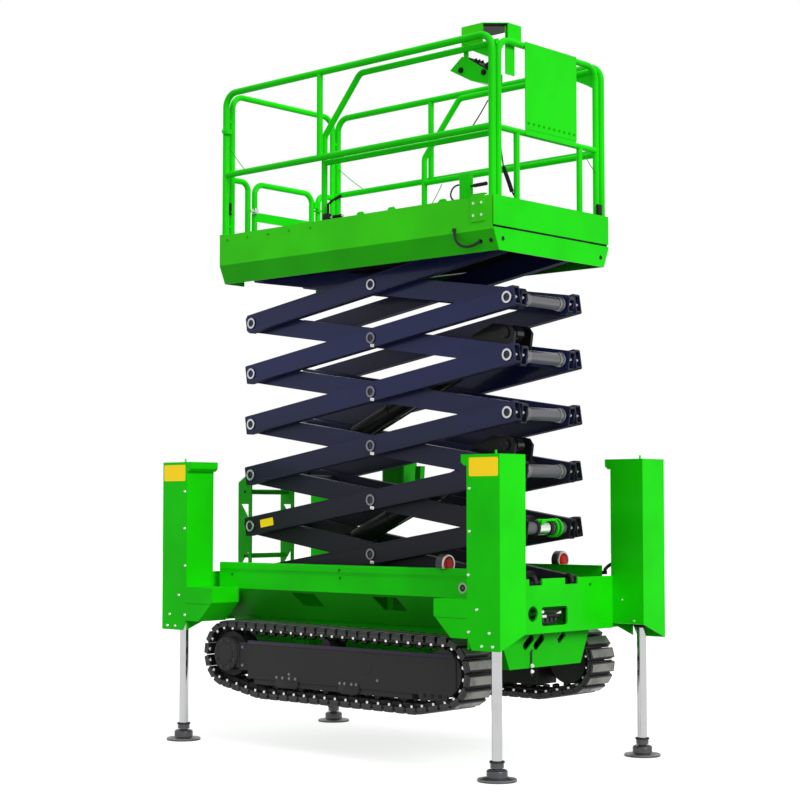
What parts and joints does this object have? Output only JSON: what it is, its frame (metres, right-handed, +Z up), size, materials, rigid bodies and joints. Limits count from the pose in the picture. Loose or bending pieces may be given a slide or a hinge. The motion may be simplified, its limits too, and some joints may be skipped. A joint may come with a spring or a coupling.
{
  "type": "tracked scissor lift",
  "caption": "Tracked scissor lift on four levelling legs, with coupled scissor stages, lift cylinders, sliding extension deck, guard rails and an entry gate.",
  "frame": {"origin": "on the ground, midway between the four feet", "axes": "+X to the front where the deck extends, +Y to the left side, +Z up"},
  "size_m": [2.795, 1.569, 4.236],
  "materials": {
    "arm_paint": "satin navy black paint",
    "black_paint": "satin black paint",
    "black_plastic": "black case",
    "chrome": "polished hard chrome",
    "dark_steel": "black finished forged steel",
    "deep_green_paint": "gloss paint in shade",
    "green_paint": "gloss paint",
    "red_lens": "clear red lens",
    "track_steel": "dark steel shoes with worn tips"
  },
  "bodies": {
    "chassis": {"battery_block": "black_plastic", "chassis_frame": "deep_green_paint", "front_crossmember": "green_paint", "ground_control_box": "deep_green_paint", "ladder": "deep_green_paint", "lamps": "red_lens", "leg_column_front_left": "green_paint", "leg_column_front_right": "green_paint", "leg_column_rear_left": "green_paint", "leg_column_rear_right": "green_paint", "leg_guides": "black_paint", "rear_crossmember": "green_paint", "side_covers": "green_paint", "track_frames": "black_paint", "track_left": "track_steel", "track_right": "track_steel", "track_wheels": "black_paint", "undercarriage": "green_paint"},
    "leg_front_left": {"leg_ram_front_left": "chrome", "foot_pad_front_left": "dark_steel"},
    "leg_front_right": {"leg_ram_front_right": "chrome", "foot_pad_front_right": "dark_steel"},
    "leg_rear_left": {"leg_ram_rear_left": "chrome", "foot_pad_rear_left": "dark_steel"},
    "leg_rear_right": {"leg_ram_rear_right": "chrome", "foot_pad_rear_right": "dark_steel"},
    "inner_arms_1": {"inner_arms_1": "arm_paint"},
    "outer_arms_1": {"outer_arms_1": "arm_paint"},
    "inner_arms_2": {"inner_arms_2": "arm_paint"},
    "outer_arms_2": {"outer_arms_2": "arm_paint"},
    "inner_arms_3": {"inner_arms_3": "arm_paint"},
    "outer_arms_3": {"outer_arms_3": "arm_paint"},
    "inner_arms_4": {"inner_arms_4": "arm_paint"},
    "outer_arms_4": {"outer_arms_4": "arm_paint"},
    "inner_arms_5": {"inner_arms_5": "arm_paint"},
    "outer_arms_5": {"outer_arms_5": "arm_paint"},
    "inner_arms_6": {"inner_arms_6": "arm_paint"},
    "outer_arms_6": {"outer_arms_6": "arm_paint"},
    "lower_barrel": {"lower_lift_barrel": "black_paint"},
    "lower_rod": {"lower_lift_rod": "chrome"},
    "upper_barrel": {"upper_lift_barrel": "black_paint"},
    "upper_rod": {"upper_lift_rod": "chrome"},
    "platform": {"main_deck": "green_paint", "deck_subframe": "black_paint", "main_rails": "green_paint"},
    "gate": {"rear_gate": "green_paint"},
    "extension": {"extension_deck": "green_paint", "extension_rails": "green_paint", "front_panel": "green_paint", "control_box": "green_paint", "corner_hood": "green_paint"}
  },
  "joints": [
    {"name": "lift", "type": "hinge", "parent": "chassis", "child": "inner_arms_1", "pos_m": [1.075, 0, 1.024], "axis": [0, 1, 0], "range_deg": [-5.4, 33.2]},
    {"name": "outer_arms_1_pivot", "type": "hinge", "parent": "inner_arms_1", "child": "outer_arms_1", "pos_m": [0.0035, 0, 1.1886], "axis": [0, 1, 0], "range_deg": [-66.41, 10.81]},
    {"name": "outer_arms_2_pivot", "type": "hinge", "parent": "inner_arms_1", "child": "outer_arms_2", "pos_m": [-1.068, 0, 1.3532], "axis": [0, 1, 0], "range_deg": [-66.41, 10.81]},
    {"name": "inner_arms_2_pivot", "type": "hinge", "parent": "outer_arms_2", "child": "inner_arms_2", "pos_m": [0.0035, 0, 1.5178], "axis": [0, 1, 0], "range_deg": [-10.81, 66.41]},
    {"name": "inner_arms_3_pivot", "type": "hinge", "parent": "outer_arms_2", "child": "inner_arms_3", "pos_m": [1.075, 0, 1.6824], "axis": [0, 1, 0], "range_deg": [-10.81, 66.41]},
    {"name": "outer_arms_3_pivot", "type": "hinge", "parent": "inner_arms_3", "child": "outer_arms_3", "pos_m": [0.0035, 0, 1.847], "axis": [0, 1, 0], "range_deg": [-66.41, 10.81]},
    {"name": "outer_arms_4_pivot", "type": "hinge", "parent": "inner_arms_3", "child": "outer_arms_4", "pos_m": [-1.068, 0, 2.0116], "axis": [0, 1, 0], "range_deg": [-66.41, 10.81]},
    {"name": "inner_arms_4_pivot", "type": "hinge", "parent": "outer_arms_4", "child": "inner_arms_4", "pos_m": [0.0035, 0, 2.1762], "axis": [0, 1, 0], "range_deg": [-10.81, 66.41]},
    {"name": "inner_arms_5_pivot", "type": "hinge", "parent": "outer_arms_4", "child": "inner_arms_5", "pos_m": [1.075, 0, 2.3408], "axis": [0, 1, 0], "range_deg": [-10.81, 66.41]},
    {"name": "outer_arms_5_pivot", "type": "hinge", "parent": "inner_arms_5", "child": "outer_arms_5", "pos_m": [0.0035, 0, 2.5054], "axis": [0, 1, 0], "range_deg": [-66.41, 10.81]},
    {"name": "outer_arms_6_pivot", "type": "hinge", "parent": "inner_arms_5", "child": "outer_arms_6", "pos_m": [-1.068, 0, 2.67], "axis": [0, 1, 0], "range_deg": [-66.41, 10.81]},
    {"name": "inner_arms_6_pivot", "type": "hinge", "parent": "outer_arms_6", "child": "inner_arms_6", "pos_m": [0.0035, 0, 2.8346], "axis": [0, 1, 0], "range_deg": [-10.81, 66.41]},
    {"name": "platform_pivot", "type": "hinge", "parent": "outer_arms_6", "child": "platform", "pos_m": [1.075, 0, 2.9992], "axis": [0, 1, 0], "range_deg": [-5.41, 33.21]},
    {"name": "lower_barrel_pivot", "type": "hinge", "parent": "inner_arms_1", "child": "lower_barrel", "pos_m": [-0.45901, 0, 1.25965], "axis": [0, 1, 0], "range_deg": [-72.75, 11.84]},
    {"name": "lower_rod_slide", "type": "slide", "parent": "lower_barrel", "child": "lower_rod", "axis": [0.918, 0, 0.3966], "range_m": [-0.1473, 0.9028]},
    {"name": "upper_barrel_pivot", "type": "hinge", "parent": "inner_arms_3", "child": "upper_barrel", "pos_m": [-0.45901, 0, 1.91805], "axis": [0, 1, 0], "range_deg": [-72.75, 11.84]},
    {"name": "upper_rod_slide", "type": "slide", "parent": "upper_barrel", "child": "upper_rod", "axis": [0.918, 0, 0.3966], "range_m": [-0.1473, 0.9028]},
    {"name": "leg_front_left_slide", "type": "slide", "parent": "chassis", "child": "leg_front_left", "axis": [0, 0, 1], "range_m": [-0.05, 0.45]},
    {"name": "leg_front_right_slide", "type": "slide", "parent": "chassis", "child": "leg_front_right", "axis": [0, 0, 1], "range_m": [-0.05, 0.45]},
    {"name": "leg_rear_left_slide", "type": "slide", "parent": "chassis", "child": "leg_rear_left", "axis": [0, 0, 1], "range_m": [-0.05, 0.45]},
    {"name": "leg_rear_right_slide", "type": "slide", "parent": "chassis", "child": "leg_rear_right", "axis": [0, 0, 1], "range_m": [-0.05, 0.45]},
    {"name": "extension_slide", "type": "slide", "parent": "platform", "child": "extension", "axis": [1, 0, 0], "range_m": [0, 0.9]},
    {"name": "gate_hinge", "type": "hinge", "parent": "platform", "child": "gate", "pos_m": [-1.0687, 0.293, 3.4], "axis": [0, 0, 1], "range_deg": [0, 90]}
  ],
  "couplings": [
    {"joint": "outer_arms_1_pivot", "follows": "lift", "ratio": -2},
    {"joint": "outer_arms_2_pivot", "follows": "lift", "ratio": -2},
    {"joint": "inner_arms_2_pivot", "follows": "lift", "ratio": 2},
    {"joint": "inner_arms_3_pivot", "follows": "lift", "ratio": 2},
    {"joint": "outer_arms_3_pivot", "follows": "lift", "ratio": -2},
    {"joint": "outer_arms_4_pivot", "follows": "lift", "ratio": -2},
    {"joint": "inner_arms_4_pivot", "follows": "lift", "ratio": 2},
    {"joint": "inner_arms_5_pivot", "follows": "lift", "ratio": 2},
    {"joint": "outer_arms_5_pivot", "follows": "lift", "ratio": -2},
    {"joint": "outer_arms_6_pivot", "follows": "lift", "ratio": -2},
    {"joint": "inner_arms_6_pivot", "follows": "lift", "ratio": 2},
    {"joint": "platform_pivot", "follows": "lift", "ratio": 1},
    {"joint": "lower_barrel_pivot", "follows": "lift", "ratio": -2.1908},
    {"joint": "lower_rod_slide", "follows": "lift", "m_per_rad": 1.5571},
    {"joint": "upper_barrel_pivot", "follows": "lift", "ratio": -2.1908},
    {"joint": "upper_rod_slide", "follows": "lift", "m_per_rad": 1.5571}
  ]
}
